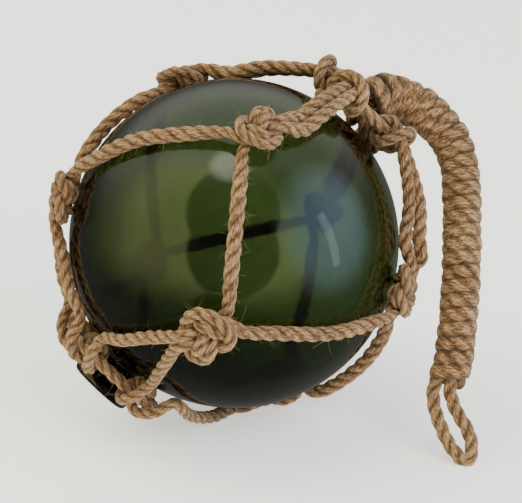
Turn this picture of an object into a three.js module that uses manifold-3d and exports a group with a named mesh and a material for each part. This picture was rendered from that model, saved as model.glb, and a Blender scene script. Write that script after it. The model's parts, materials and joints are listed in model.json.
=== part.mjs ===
// A sealed glass float ball in a knotted rope net, with a whipped rope handle that ends in a loop.
// Millimetres, +Z up. It lies on the table, with the origin under the middle of its outline.
import * as THREE from "three";
import Module from "manifold-3d";
import { mergeVertices } from "three/addons/utils/BufferGeometryUtils.js";

const wasm = await Module();
wasm.setup();

// Driving dimensions: the ball, and how high its centre sits over the table
const clearance = 0.3;
const ballDiameter = 120;
const restHeight = 67.5;
const buttonDiameter = 24;
const buttonRise = 12.5;
const buttonNeckDiameter = 19;
const buttonThickness = 6;
const buttonSlope = 2.5;
const buttonBevel = 1.2;

// Thickness of the rope where it runs free, and where knots and hitches squeeze it
const netRope = 5.4;
const knotRope = 3;
const largeKnotRope = 3.6;
const hitchRope = 3.9;
const ringRope = 4.2;
const crownRingDiameter = 27;
const crownRingRise = 7;
const baseRingDiameter = 38;

// The handle: a doubled rope inside a close whipping, with the bight left open as a loop
const handleRope = 4.1;
const loopRope = 5.2;
const loopLength = 35;
const loopWidth = 16.5;
const whippingDiameter = 14.8;
const whippingPitch = 5.1;
const whippingRidge = 0.9;

// The lean of the net: its crown points up, to the right and a little to the back
const crownLean = THREE.MathUtils.degToRad(48.6);
const crownBearing = THREE.MathUtils.degToRad(24.4);

// Places of the knots: angle down from the crown, angle round the axis, turn on the ball,
// and how far the slack rope beside the knot hangs off the glass
const crownKnots = [
  { down: 64, round: 15, turn: 0, rope: knotRope, slack: 0 },
  { down: 58, round: 112, turn: -16, rope: knotRope, slack: 0 },
  { down: 62, round: 194, turn: 0, rope: knotRope, slack: 0 },
  { down: 60, round: 288, turn: 0, rope: knotRope, slack: 0 },
];
const baseKnots = [
  { down: 116, round: 74, turn: -22, rope: largeKnotRope, slack: 0 },
  { down: 117, round: 166, turn: 0, rope: knotRope, slack: 0 },
  { down: 118, round: 248, turn: 0, rope: knotRope, slack: 0 },
  { down: 116, round: 327, turn: 4, rope: knotRope, slack: 3.4 },
];

// Angles round the axis at which the ropes are hitched, two by two, to the base ring
const baseHitches = [50, 125, 194, 288];

// Middle line of the handle, from inside the crown ring to the end of the whipping
const handleRoute = [
  [48.8, 22.2, 47.3],
  [54.5, 25, 47.8],
  [60.4, 27, 45.5],
  [67.5, 26.5, 42.3],
  [76.8, 21, 35.5],
  [81.2, 15, 28.4],
  [82.6, 7.5, 19.8],
  [82.6, -3, 6.6],
  [81.9, -14, -8.4],
  [80.4, -23.5, -24],
  [78.6, -29.5, -36.5],
];
const bareHandle = 2;
const handleSpread = 17;
const loopLean = 5.5;

// Shape of one tied knot, in thicknesses of its rope
const knotReach = 6;
const knotSplit = 0.66;
const knotFlatness = 0.95;
const knotPacking = 0.86;
const knotCorners = 64;
const knotRounds = 420;
const tautReach = 3.4;

// Fineness of the rope solids
const sectionSides = 6;
const largestStep = 9;
const largestTurn = 0.6;

const ballRadius = ballDiameter / 2;
const restingHug = netRope / 2 + clearance;

// The net's own directions
const crownAxis = new THREE.Vector3(
  Math.sin(crownLean) * Math.cos(crownBearing),
  Math.sin(crownLean) * Math.sin(crownBearing),
  Math.cos(crownLean),
);
const viewSide = new THREE.Vector3(0, -crownAxis.z, crownAxis.y).normalize();
const lowSide = new THREE.Vector3().crossVectors(crownAxis, viewSide);

function outward(round) {
  const angle = THREE.MathUtils.degToRad(round);
  return lowSide.clone().multiplyScalar(Math.cos(angle)).addScaledVector(viewSide, Math.sin(angle));
}

function direction(down, round) {
  const angle = THREE.MathUtils.degToRad(down);
  return crownAxis.clone().multiplyScalar(Math.cos(angle)).addScaledVector(outward(round), Math.sin(angle));
}

// A point given by its distances along three directions from a start
function offset(start, ...moves) {
  const point = start.clone();
  for (const [way, distance] of moves) {
    point.addScaledVector(way, distance);
  }
  return point;
}

function respaced(points, count) {
  const lengths = [0];
  for (let i = 1; i < points.length; i += 1) {
    lengths.push(lengths[i - 1] + points[i].distanceTo(points[i - 1]));
  }
  const spaced = [];
  let segment = 0;
  for (let i = 0; i < count; i += 1) {
    const target = (lengths.at(-1) * i) / (count - 1);
    while (segment < points.length - 2 && lengths[segment + 1] < target) {
      segment += 1;
    }
    const share = (target - lengths[segment]) / (lengths[segment + 1] - lengths[segment]);
    spaced.push(points[segment].clone().lerp(points[segment + 1], Math.min(1, share)));
  }
  return spaced;
}

// A loosely tied overhand knot of two strands side by side, along Y, before it is pulled tight
function looseStrand(side) {
  const opening = 0.34;
  const size = 2;
  const lane = 0.55 * side;
  const count = 160;
  const core = [];
  for (let i = 0; i < count; i += 1) {
    const turn = opening + (2 * (Math.PI - opening) * i) / (count - 1);
    const reach = size * (2 + Math.cos(3 * turn));
    const rise = 1.2 * size * Math.sin(3 * turn);
    core.push(new THREE.Vector3(reach * Math.cos(2 * turn), reach * Math.sin(2 * turn), rise));
  }
  const strand = core.map((point, i) => {
    const along = core[Math.min(count - 1, i + 1)].clone().sub(core[Math.max(0, i - 1)]);
    const across = new THREE.Vector3(-along.y, along.x, 0).normalize();
    return point.clone().addScaledVector(across, lane);
  });
  const start = 2.2 * size;
  const bend = 2.6 * size;
  const splitEnd = start - lane - 1.4 * knotReach * Math.tan(knotSplit) * side;
  return [
    new THREE.Vector3(start + lane, 2 * knotReach, 0),
    new THREE.Vector3(bend + lane, 1.2 * knotReach, 0.4 * size),
    ...strand,
    new THREE.Vector3(bend - lane, -1.2 * knotReach, -0.4 * size),
    new THREE.Vector3(splitEnd, -2 * knotReach, 0),
  ];
}

// How hard a knot is drawn on each round, and how much bend its own strand keeps
const pullShare = 0.6;
const pushShare = 0.3;
const pushesPerRound = 6;
const tightestBend = 1.7;

// Pushes apart points of the two strands that are nearer than one rope thickness
function pushApart(strands, skipped, flatness) {
  const all = strands.flat();
  const moves = all.map(() => new THREE.Vector3());
  const gap = new THREE.Vector3();
  for (let i = 0; i < all.length; i += 1) {
    for (let j = i + 1; j < all.length; j += 1) {
      const sameStrand = i < knotCorners === j < knotCorners;
      if (sameStrand && j - i < skipped) {
        continue;
      }
      gap.subVectors(all[i], all[j]);
      const distance = gap.length();
      if (distance < 1) {
        gap.multiplyScalar((pushShare * (1 - distance)) / distance);
        moves[i].add(gap);
        moves[j].sub(gap);
      }
    }
  }
  for (let i = 0; i < all.length; i += 1) {
    const place = i % knotCorners;
    if (place > 0 && place < knotCorners - 1) {
      all[i].add(moves[i]);
      all[i].z = THREE.MathUtils.clamp(all[i].z, -flatness, flatness);
    }
  }
}

// The knot pulled tight: the strands shorten while they keep a rope thickness apart
function tiedKnot() {
  let strands = [1, -1].map((side) => respaced(looseStrand(side), knotCorners));
  const starts = strands.map((strand) => [strand[0].clone(), strand.at(-1).clone()]);
  const ends = [1, -1].map((side) => [
    new THREE.Vector3(0.5 * side, knotReach, 0),
    new THREE.Vector3(-side * knotReach * Math.sin(knotSplit), -knotReach * Math.cos(knotSplit), 0),
  ]);
  for (let round = 0; round < knotRounds; round += 1) {
    const drawn = Math.min(1, (2 * (round + 1)) / knotRounds);
    const pressed = THREE.MathUtils.clamp((round / knotRounds - 0.4) / 0.4, 0, 1);
    const flatness = THREE.MathUtils.lerp(3, knotFlatness, pressed);
    strands = strands.map((strand, side) =>
      strand.map((point, i) => {
        if (i === 0) {
          return starts[side][0].clone().lerp(ends[side][0], drawn);
        }
        if (i === knotCorners - 1) {
          return starts[side][1].clone().lerp(ends[side][1], drawn);
        }
        const middle = strand[i - 1].clone().add(strand[i + 1]).multiplyScalar(0.5);
        return point.clone().lerp(middle, pullShare);
      }),
    );
    const lengths = strands.map((strand) => new THREE.CatmullRomCurve3(strand).getLength());
    const step = Math.max(...lengths) / knotCorners;
    for (let pass = 0; pass < pushesPerRound; pass += 1) {
      pushApart(strands, Math.ceil(tightestBend / step), flatness);
    }
    strands = strands.map((strand) => respaced(strand, knotCorners));
  }
  return strands;
}

// A knot laid on the ball: its pair leaves towards the crown, or towards the base when flipped
function knotOnBall(shape, place, flipped) {
  const normal = direction(place.down, place.round);
  const up = direction(place.down - 90, place.round);
  const turn = THREE.MathUtils.degToRad(place.turn + (flipped ? 180 : 0));
  const along = up.clone().applyAxisAngle(normal, turn);
  const across = new THREE.Vector3().crossVectors(along, normal);
  const spacing = (place.rope + clearance) / knotPacking;
  const middleHeight = knotFlatness * spacing + place.rope / 2 + clearance;
  const pairSpread = Math.max(1, (netRope + 1.5 * clearance) / spacing);
  const inKnot = ({ x, y }) => place.slack > 0 || Math.hypot(x, y) < tautReach || (y > 0 && !flipped);
  return shape.map((strand) =>
    strand.filter(inKnot).map((point) => {
      const reach = Math.hypot(point.x, point.y);
      const loosened = THREE.MathUtils.smoothstep(reach, 2.7, 4.8);
      const sideways = point.x * THREE.MathUtils.lerp(1, pairSpread, loosened);
      const settle = THREE.MathUtils.smoothstep(reach, 2.6, knotReach);
      const height = THREE.MathUtils.lerp(middleHeight + point.z * spacing, restingHug + place.slack, settle);
      const angle = (reach * spacing) / (ballRadius + middleHeight);
      const way = along.clone().multiplyScalar(point.y).addScaledVector(across, sideways).normalize();
      const spot = normal.clone().multiplyScalar(Math.cos(angle)).addScaledVector(way, Math.sin(angle));
      return {
        point: spot.multiplyScalar(ballRadius + height),
        rope: THREE.MathUtils.lerp(place.rope, netRope, loosened),
      };
    }),
  );
}

// Points of a rope between two others, over the ball by the shortest way
function spanOnBall(from, to, shares) {
  return shares.map((share) => {
    const height = THREE.MathUtils.lerp(from.point.length(), to.point.length(), share);
    const point = from.point.clone().lerp(to.point, share).setLength(height);
    return { point, rope: THREE.MathUtils.lerp(from.rope, to.rope, share) };
  });
}

// Where a rope that leaves a knot would lie if it touched the glass there
function onGlass(place, slack) {
  return { point: place.point.clone().setLength(ballRadius + restingHug + slack), rope: netRope };
}

// A closed solid swept along rope places, with a ring of corners at each chosen step
function sweptRope(places, closed = false) {
  const curve = new THREE.CatmullRomCurve3(places.map((place) => place.point), closed, "centripetal");
  const fine = places.length * 12;
  const samples = [];
  for (let i = 0; i <= fine; i += 1) {
    const share = i / fine;
    const index = share * (closed ? places.length : places.length - 1);
    const before = places[Math.floor(index) % places.length];
    const after = places[Math.ceil(index) % places.length];
    const rope = THREE.MathUtils.lerp(before.rope, after.rope, index - Math.floor(index));
    samples.push({ point: curve.getPoint(share), along: curve.getTangent(share), rope });
  }
  const chosen = [samples[0]];
  let lastKept = samples[0];
  for (const sample of samples.slice(1, -1)) {
    const length = sample.point.distanceTo(lastKept.point);
    const turn = sample.along.angleTo(lastKept.along);
    if (length > largestStep || (turn > largestTurn && length > 1)) {
      chosen.push(sample);
      lastKept = sample;
    }
  }
  if (chosen.at(-1).point.distanceTo(samples.at(-1).point) < 1) {
    chosen.pop();
  }
  if (!closed) {
    chosen.push(samples.at(-1));
  }
  let across = new THREE.Vector3(0, 0, 1).cross(chosen[0].along).normalize();
  const vertices = [];
  for (const { point, along, rope } of chosen) {
    across = across.addScaledVector(along, -across.dot(along)).normalize();
    const lift = new THREE.Vector3().crossVectors(along, across);
    for (let side = 0; side < sectionSides; side += 1) {
      const angle = (2 * Math.PI * side) / sectionSides;
      const way = across.clone().multiplyScalar(Math.cos(angle)).addScaledVector(lift, Math.sin(angle));
      vertices.push(...offset(point, [way, rope / 2]).toArray());
    }
  }
  const faces = [];
  const rings = chosen.length;
  for (let ring = 0; ring < (closed ? rings : rings - 1); ring += 1) {
    const next = (ring + 1) % rings;
    for (let side = 0; side < sectionSides; side += 1) {
      const beside = (side + 1) % sectionSides;
      const a = ring * sectionSides + side;
      const b = ring * sectionSides + beside;
      const c = next * sectionSides + side;
      const d = next * sectionSides + beside;
      faces.push(a, b, d, a, d, c);
    }
  }
  if (!closed) {
    const last = (rings - 1) * sectionSides;
    for (let side = 1; side < sectionSides - 1; side += 1) {
      faces.push(0, side + 1, side);
      faces.push(last, last + side, last + side + 1);
    }
  }
  const geometry = new THREE.BufferGeometry();
  geometry.setAttribute("position", new THREE.Float32BufferAttribute(vertices, 3));
  geometry.setIndex(faces);
  return geometry;
}

// One end of a rope hitched round the base ring, from the ball outside it to the rope's end
function baseHitch(round, side) {
  const ringRadius = baseRingDiameter / 2;
  const height = ringRope / 2 + hitchRope + 2 * clearance;
  const distance = ballRadius + height;
  const down = 180 - THREE.MathUtils.radToDeg(Math.asin(ringRadius / distance));
  const grip = (ringRope + hitchRope) / 2 + 1.5 * clearance;
  const sideways = THREE.MathUtils.radToDeg((side * hitchRope * 1.15) / ringRadius);
  const normal = direction(down, round + sideways);
  const away = direction(down - 90, round + sideways);
  const beside = new THREE.Vector3().crossVectors(normal, away).multiplyScalar(-side);
  const ring = normal.clone().multiplyScalar(distance);
  const hitch = [
    offset(ring, [away, grip * 2.6], [normal, restingHug - height - 0.3]),
    offset(ring, [away, grip * 1.5], [normal, grip * 0.45]),
    offset(ring, [away, grip * 0.7], [normal, grip * 0.85]),
    offset(ring, [normal, grip], [beside, 0.3]),
    offset(ring, [away, -grip * 0.75], [normal, grip * 0.7], [beside, 0.6]),
    offset(ring, [away, -grip], [beside, 1]),
    offset(ring, [away, -grip * 0.7], [normal, -grip * 0.75], [beside, 1.4]),
    offset(ring, [normal, -grip], [beside, 1.8]),
    offset(ring, [away, grip * 0.8], [normal, -grip * 0.75], [beside, 2.2]),
  ];
  return hitch.map((point) => ({ point, rope: hitchRope }));
}

// The bight of a rope on the crown ring: both legs go round the ring and under their own bight
function crownHitch(round) {
  const core = offset(
    crownAxis.clone().multiplyScalar(ballRadius + crownRingRise),
    [outward(round), crownRingDiameter / 2],
  );
  const grip = (ringRope + hitchRope) / 2 + 1.5 * clearance;
  const lane = (hitchRope + clearance) * 0.52;
  const beside = new THREE.Vector3().crossVectors(crownAxis, outward(round));
  const turns = [
    { turn: 40, reach: grip, shift: lane },
    { turn: 90, reach: grip, shift: lane },
    { turn: 135, reach: grip, shift: lane },
    { turn: 180, reach: grip, shift: lane },
    { turn: 225, reach: grip, shift: lane * 1.1 },
    { turn: 270, reach: grip, shift: lane * 1.6 },
    { turn: 315, reach: grip, shift: lane * 2.7 },
    { turn: 355, reach: grip * 1.1, shift: lane * 3.2 },
    { turn: 385, reach: grip * 1.55, shift: lane * 2.7 },
    { turn: 400, reach: grip + hitchRope + clearance * 1.5, shift: lane * 1.1 },
  ];
  const halves = [1, -1].map((side) =>
    turns.map(({ turn, reach, shift }) => {
      const angle = THREE.MathUtils.degToRad(turn);
      const point = offset(
        core,
        [outward(round), reach * Math.cos(angle)],
        [crownAxis, reach * Math.sin(angle)],
        [beside, side * shift],
      );
      return { point, rope: hitchRope };
    }),
  );
  return halves;
}

function ballGeometry() {
  const profile = [];
  const neckRadius = buttonNeckDiameter / 2;
  const neckAngle = Math.asin(neckRadius / ballRadius);
  const arcSteps = 13;
  for (let i = 0; i <= arcSteps; i += 1) {
    const angle = ((Math.PI - neckAngle) * i) / arcSteps;
    profile.push(new THREE.Vector2(ballRadius * Math.sin(angle), -ballRadius * Math.cos(angle)));
  }
  profile[0].x = 0;
  const faceHeight = ballRadius + buttonRise;
  profile.push(new THREE.Vector2(neckRadius, faceHeight - buttonThickness));
  profile.push(new THREE.Vector2(buttonDiameter / 2, faceHeight - buttonThickness + buttonSlope));
  profile.push(new THREE.Vector2(buttonDiameter / 2, faceHeight - buttonBevel));
  profile.push(new THREE.Vector2(buttonDiameter / 2 - buttonBevel, faceHeight));
  profile.push(new THREE.Vector2(0, faceHeight));
  const geometry = new THREE.LatheGeometry(profile, 24);
  geometry.applyQuaternion(
    new THREE.Quaternion().setFromUnitVectors(new THREE.Vector3(0, 1, 0), crownAxis.clone().negate()),
  );
  return geometry;
}

// A closed ring of rope round the net's axis
function ringGeometry(diameter, distance) {
  const geometry = new THREE.TorusGeometry(diameter / 2, ringRope / 2, sectionSides, 26);
  geometry.applyQuaternion(new THREE.Quaternion().setFromUnitVectors(new THREE.Vector3(0, 0, 1), crownAxis));
  geometry.translate(...crownAxis.clone().multiplyScalar(distance).toArray());
  return geometry;
}

function routeCurve() {
  const points = handleRoute.map((point) => new THREE.Vector3(...point));
  return new THREE.CatmullRomCurve3(points, false, "centripetal");
}

function routePlaces() {
  const curve = routeCurve();
  const steps = Math.round(curve.getLength() / 3);
  const places = [];
  for (let i = 0; i <= steps; i += 1) {
    const along = curve.getTangentAt(i / steps);
    const across = new THREE.Vector3().crossVectors(along, new THREE.Vector3(0, 1, 0)).normalize();
    places.push({ point: curve.getPointAt(i / steps), along, across });
  }
  return places;
}

// The angle round the axis midway between one crown hitch and the next
function gapAfter(i) {
  const next = crownKnots[(i + 1) % crownKnots.length].round;
  return (crownKnots[i].round + next + (next < crownKnots[i].round ? 360 : 0)) / 2;
}

// The handle's rope: two legs spread under the crown ring, side by side to the end, then the loop
function handleGeometry() {
  const lane = (handleRope + clearance) / 2;
  const places = routePlaces();
  const end = places.at(-1);
  const legs = [1, -1].map((side) => {
    const away = outward(side > 0 ? gapAfter(1) : gapAfter(3));
    const underReach = ballRadius + handleRope / 2 + 2 * clearance;
    const under = [
      [handleSpread, Math.sqrt(underReach ** 2 - handleSpread ** 2)],
      [handleSpread * 0.6, Math.sqrt(underReach ** 2 - (handleSpread * 0.6) ** 2)],
      [handleSpread * 0.3, underReach + clearance * 4],
      [lane + clearance, (underReach + ballRadius + crownRingRise) / 2 + clearance * 4],
      [lane, ballRadius + crownRingRise + clearance * 3],
    ].map(([reach, height]) => ({
      point: offset(crownAxis.clone().multiplyScalar(height), [away, reach]),
      rope: handleRope,
    }));
    const run = places
      .filter((place, i) => i % 2 === 0 || place === end)
      .map((place) => ({ point: offset(place.point, [place.across, side * lane]), rope: handleRope }));
    const loopSide = [
      [0.06, lane / (loopWidth - loopRope)],
      [0.25, 0.3],
      [0.5, 0.47],
      [0.78, 0.46],
      [0.95, 0.27],
    ].map(([share, width]) => ({
      point: offset(
        end.point,
        [end.along, share * (loopLength - loopRope / 2)],
        [end.across, side * width * (loopWidth - loopRope) + loopLean * share],
      ),
      rope: loopRope,
    }));
    return [...under, ...run, ...loopSide];
  });
  const tip = {
    point: offset(end.point, [end.along, loopLength - loopRope / 2], [end.across, loopLean]),
    rope: loopRope,
  };
  return sweptRope([...legs[0], tip, ...legs[1].reverse()]);
}

// The whipping: a sleeve whose outside has one ridge for each turn of the cord
function whippingGeometry() {
  const curve = routeCurve();
  const start = bareHandle / curve.getLength();
  const turns = Math.round((curve.getLength() - bareHandle) / whippingPitch);
  const ringsPerTurn = 2;
  const sides = 8;
  const rings = turns * ringsPerTurn;
  const bore = handleRope + 3 * clearance;
  const vertices = [];
  const addRing = (part, radius) => {
    const share = start + (1 - start) * part;
    const middle = curve.getPointAt(share);
    const along = curve.getTangentAt(share);
    const across = new THREE.Vector3().crossVectors(along, new THREE.Vector3(0, 1, 0)).normalize();
    const lift = new THREE.Vector3().crossVectors(along, across);
    for (let side = 0; side < sides; side += 1) {
      const angle = (2 * Math.PI * side) / sides;
      const way = across.clone().multiplyScalar(Math.cos(angle)).addScaledVector(lift, Math.sin(angle));
      vertices.push(...offset(middle, [way, radius]).toArray());
    }
  };
  for (let ring = 0; ring <= rings; ring += 1) {
    const depth = ring % ringsPerTurn === 0 ? whippingRidge : 0;
    addRing(ring / rings, whippingDiameter / 2 - depth);
  }
  const boreRings = turns;
  for (let ring = boreRings; ring >= 0; ring -= 1) {
    addRing(ring / boreRings, bore / Math.cos(Math.PI / sides));
  }
  const all = rings + boreRings + 2;
  const faces = [];
  for (let ring = 0; ring < all; ring += 1) {
    const next = (ring + 1) % all;
    for (let side = 0; side < sides; side += 1) {
      const beside = (side + 1) % sides;
      const a = ring * sides + side;
      const b = ring * sides + beside;
      const c = next * sides + side;
      const d = next * sides + beside;
      faces.push(a, b, d, a, d, c);
    }
  }
  const geometry = new THREE.BufferGeometry();
  geometry.setAttribute("position", new THREE.Float32BufferAttribute(vertices, 3));
  geometry.setIndex(faces);
  return geometry;
}

function solidFrom(geometry) {
  const bare = geometry.clone();
  bare.deleteAttribute("normal");
  bare.deleteAttribute("uv");
  const merged = mergeVertices(bare, 1e-4);
  const mesh = new wasm.Mesh({
    numProp: 3,
    vertProperties: new Float32Array(merged.attributes.position.array),
    triVerts: new Uint32Array(merged.index.array),
  });
  return new wasm.Manifold(mesh);
}

function geometryFrom(solid) {
  const mesh = solid.getMesh();
  const geometry = new THREE.BufferGeometry();
  geometry.setAttribute("position", new THREE.BufferAttribute(mesh.vertProperties, 3));
  geometry.setIndex(new THREE.BufferAttribute(mesh.triVerts, 1));
  return geometry;
}

// The table presses flat spots into what lies on it
function pressedFlat(geometry) {
  const span = 4 * ballDiameter;
  const block = new THREE.BoxGeometry(span, span, ballRadius);
  block.translate(0, 0, -restHeight - ballRadius / 2);
  return geometryFrom(solidFrom(geometry).subtract(solidFrom(block)));
}

function netRopes() {
  const shape = tiedKnot();
  const crown = crownKnots.map((place) => knotOnBall(shape, place, false));
  const base = baseKnots.map((place) => knotOnBall(shape, place, true));
  return crownKnots.map((place, i) => {
    const before = (i + 3) % 4;
    const hitch = crownHitch(place.round);
    const legs = [
      { side: 0, knot: i, ring: baseHitch(baseHitches[(i + 1) % 4], -1) },
      { side: 1, knot: before, ring: baseHitch(baseHitches[before], 1) },
    ].map(({ side, knot, ring }) => {
      const high = crown[i][side];
      const low = base[knot][side].slice().reverse();
      const top = hitch[side].slice().reverse();
      const { slack } = baseKnots[knot];
      return [
        ...top,
        ...spanOnBall(top.at(-1), high[0], [0.67]),
        ...thinned(high),
        ...spanOnBall(onGlass(high.at(-1), 0), onGlass(low[0], slack), [0.2, 0.5, 0.8]),
        ...thinned(low),
        ...spanOnBall(onGlass(low.at(-1), slack), ring[0], [0.33, 0.67]),
        ...ring,
      ];
    });
    return [...legs[0].reverse(), ...legs[1]];
  });
}

function thinned(strand) {
  return strand.filter((place, i) => i % 2 === 0 || i === strand.length - 1);
}

const glass = new THREE.MeshStandardMaterial({ color: 0x4f6f52, roughness: 0.08, metalness: 0 });
const jute = new THREE.MeshStandardMaterial({ color: 0xa67c4f, roughness: 0.9, metalness: 0 });

const float = new THREE.Group();
float.position.z = restHeight;

function addPiece(name, geometry, material) {
  const mesh = new THREE.Mesh(geometry, material);
  mesh.name = name;
  float.add(mesh);
}

addPiece("glass_ball", ballGeometry(), glass);
netRopes().forEach((places, i) => {
  addPiece(`net_rope_${i + 1}`, pressedFlat(sweptRope(places)), jute);
});
addPiece("crown_ring", ringGeometry(crownRingDiameter, ballRadius + crownRingRise), jute);
const baseRingHeight = ballRadius + ringRope / 2 + hitchRope + 2 * clearance;
const baseRingDistance = Math.sqrt(baseRingHeight ** 2 - (baseRingDiameter / 2) ** 2);
addPiece("base_ring", ringGeometry(baseRingDiameter, -baseRingDistance), jute);
addPiece("handle_rope", pressedFlat(handleGeometry()), jute);
addPiece("handle_whipping", whippingGeometry(), jute);

// The origin is at the middle of the outline, on the table
const object = new THREE.Group();
object.add(float);
const middle = new THREE.Box3().setFromObject(object).getCenter(new THREE.Vector3());
object.position.set(-middle.x, -middle.y, 0);
export default object;
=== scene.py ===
# %% [markdown]
# A glass float ball in a rope net
#
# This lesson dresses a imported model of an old-style net float: a sealed ball of bottle glass,
# held in a net of laid rope, with a whipped rope handle that ends in a hanging loop. The packed
# model gives the places and sizes. Here the ball becomes real hollow glass, and the plain tubes
# become rope with strands, yarns and stray fibres.

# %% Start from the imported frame
import json
import math

import bpy
import numpy as np
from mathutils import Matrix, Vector

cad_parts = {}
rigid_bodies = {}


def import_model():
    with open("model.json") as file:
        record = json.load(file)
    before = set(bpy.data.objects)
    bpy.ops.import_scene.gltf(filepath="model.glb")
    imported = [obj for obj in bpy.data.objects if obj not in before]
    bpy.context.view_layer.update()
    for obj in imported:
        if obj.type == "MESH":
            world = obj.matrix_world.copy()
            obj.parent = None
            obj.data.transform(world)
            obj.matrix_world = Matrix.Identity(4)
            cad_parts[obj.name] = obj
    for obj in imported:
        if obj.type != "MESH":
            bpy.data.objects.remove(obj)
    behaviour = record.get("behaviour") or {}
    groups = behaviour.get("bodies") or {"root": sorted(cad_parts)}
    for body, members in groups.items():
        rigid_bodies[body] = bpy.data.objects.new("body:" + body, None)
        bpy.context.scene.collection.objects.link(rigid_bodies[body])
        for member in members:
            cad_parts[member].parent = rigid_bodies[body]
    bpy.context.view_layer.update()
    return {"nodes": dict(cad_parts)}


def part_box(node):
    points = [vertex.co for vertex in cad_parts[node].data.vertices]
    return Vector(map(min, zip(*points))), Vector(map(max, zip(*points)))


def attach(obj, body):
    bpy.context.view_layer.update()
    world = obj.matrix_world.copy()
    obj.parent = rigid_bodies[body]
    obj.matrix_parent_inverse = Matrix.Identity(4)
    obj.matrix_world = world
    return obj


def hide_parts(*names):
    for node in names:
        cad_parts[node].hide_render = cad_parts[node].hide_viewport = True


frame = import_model()
MM = 0.001
print("nodes in the frame:", sorted(frame["nodes"]))

# %% [markdown]
# The net is tied round one axis, which runs from its crown, at the upper right, through the ball
# to its base. Both rope rings are centred on that axis, so the middles of their boxes give the
# axis and, with the rise of the crown ring, the centre of the ball. Nothing has to be typed twice.

# %% Where the ball is and how its net leans
BALL_RADIUS = 60.0
CROWN_RING_RISE = 7.0


def middle_of(node):
    """The point halfway between the two corners of a node's box, in mm."""
    low, high = (np.array(corner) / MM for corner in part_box(node))
    return (low + high) / 2


crown_axis = middle_of("crown_ring") - middle_of("base_ring")
crown_axis /= np.linalg.norm(crown_axis)
ball_centre = middle_of("crown_ring") - crown_axis * (BALL_RADIUS + CROWN_RING_RISE)
view_side = np.array([0.0, -crown_axis[2], crown_axis[1]])
view_side /= np.linalg.norm(view_side)
low_side = np.cross(crown_axis, view_side)
print("ball centre, mm:", ball_centre.round(2), "axis:", crown_axis.round(3))


def outward(around):
    """The way out from the axis at an angle in degrees: low side x cos + view side x sin."""
    angle = np.radians(around)
    return low_side * np.cos(angle) + view_side * np.sin(angle)


def direction(down, around):
    """A way from the ball's centre, down in degrees from the crown: axis x cos + outward x sin."""
    angle = np.radians(down)
    return crown_axis * np.cos(angle) + outward(around) * np.sin(angle)


# %% [markdown]
# The camera comes next, because every later choice is judged through it. The photograph looks a
# little down on the float, with almost no perspective, so a long lens stands well back. The frame
# is 522 by 503 pixels and the ball's middle sits left of its centre and a little above it.

# %% Camera at the photograph's angle
PHOTO_WIDTH = 522
PHOTO_HEIGHT = 503
BALL_PIXEL = (234.0, 243.0)
MM_PER_PIXEL = 0.364
ELEVATION = math.radians(25)
CAMERA_DISTANCE = 1.0
SENSOR_WIDTH = 36.0

camera_up = np.array([0.0, math.sin(ELEVATION), math.cos(ELEVATION)])
camera_look = np.array([0.0, math.cos(ELEVATION), -math.sin(ELEVATION)])
aim = ball_centre.copy()
aim[0] += (PHOTO_WIDTH / 2 - BALL_PIXEL[0]) * MM_PER_PIXEL
aim -= camera_up * (PHOTO_HEIGHT / 2 - BALL_PIXEL[1]) * MM_PER_PIXEL
camera_data = bpy.data.cameras.new("camera")
camera_data.sensor_width = SENSOR_WIDTH
camera_data.lens = SENSOR_WIDTH * CAMERA_DISTANCE / (PHOTO_WIDTH * MM_PER_PIXEL * MM)
camera_data.clip_end = 50
camera = bpy.data.objects.new("camera", camera_data)
bpy.context.scene.collection.objects.link(camera)
camera.location = aim * MM - camera_look * CAMERA_DISTANCE
camera.rotation_euler = (math.pi / 2 - ELEVATION, 0, 0)
bpy.context.scene.camera = camera
print("lens, mm:", round(camera_data.lens, 1))

# %% [markdown]
# Every piece here is a grid: one parameter runs along or down the piece, the other round it. One
# helper turns such a grid of points into a mesh, joins each row round on itself and closes both
# ends with a fan. It writes whole arrays, which is many times faster than adding vertices singly.

# %% A grid of points becomes a mesh
def smooth_object(name, corners, faces):
    """An object at the origin whose mesh has these corners, in mm, and is shaded smooth."""
    mesh = bpy.data.meshes.new(name)
    mesh.from_pydata((corners * MM).tolist(), [], faces)
    mesh.shade_smooth()
    made = bpy.data.objects.new(name, mesh)
    bpy.context.scene.collection.objects.link(made)
    return made


def grid_object(name, points):
    """A skin over rows x columns x 3 points; a corner's number is row x columns + column.

    Each quad joins a corner to the next column and the next row. A fan joins the first row, and
    another the last, to the mean of that row's points.
    """
    rows, columns = points.shape[:2]
    row, column = np.meshgrid(np.arange(rows - 1), np.arange(columns), indexing="ij")
    next_column = (column + 1) % columns
    quads = np.stack([
        row * columns + column,
        row * columns + next_column,
        (row + 1) * columns + next_column,
        (row + 1) * columns + column,
    ], axis=-1).reshape(-1, 4)
    ring = np.arange(columns)
    after = (ring + 1) % columns
    middle = rows * columns
    end = middle - columns
    first_fan = np.stack([np.full(columns, middle), after, ring], axis=1)
    last_fan = np.stack([np.full(columns, middle + 1), end + ring, end + after], axis=1)
    means = [points[:1].mean(axis=1), points[-1:].mean(axis=1)]
    corners = np.concatenate([points.reshape(-1, 3)] + means)
    return smooth_object(name, corners, quads.tolist() + first_fan.tolist() + last_fan.tolist())


# %% [markdown]
# The glass is old bottle green. It isn't painted on: light is soaked up on its way through the
# wall, so the ball is darker at its rim, where the eye looks along the wall. A glass surface with
# an absorbing volume does that by itself, and its numbers are density and tint, as in life. The
# skin has gone a little dull, so what lies behind it is seen a little soft.

# %% Bottle glass
GLASS_THIN = (0.5, 0.56, 0.36, 1.0)
GLASS_THICK = (0.36, 0.43, 0.25, 1.0)
ABSORBED_TINT = (0.42, 0.48, 0.33, 1.0)
ABSORBED_DENSITY = 690.0


def set_inputs(node, values):
    """Gives a node's sockets their plain values, by name."""
    for socket, value in values.items():
        node.inputs[socket].default_value = value


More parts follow.
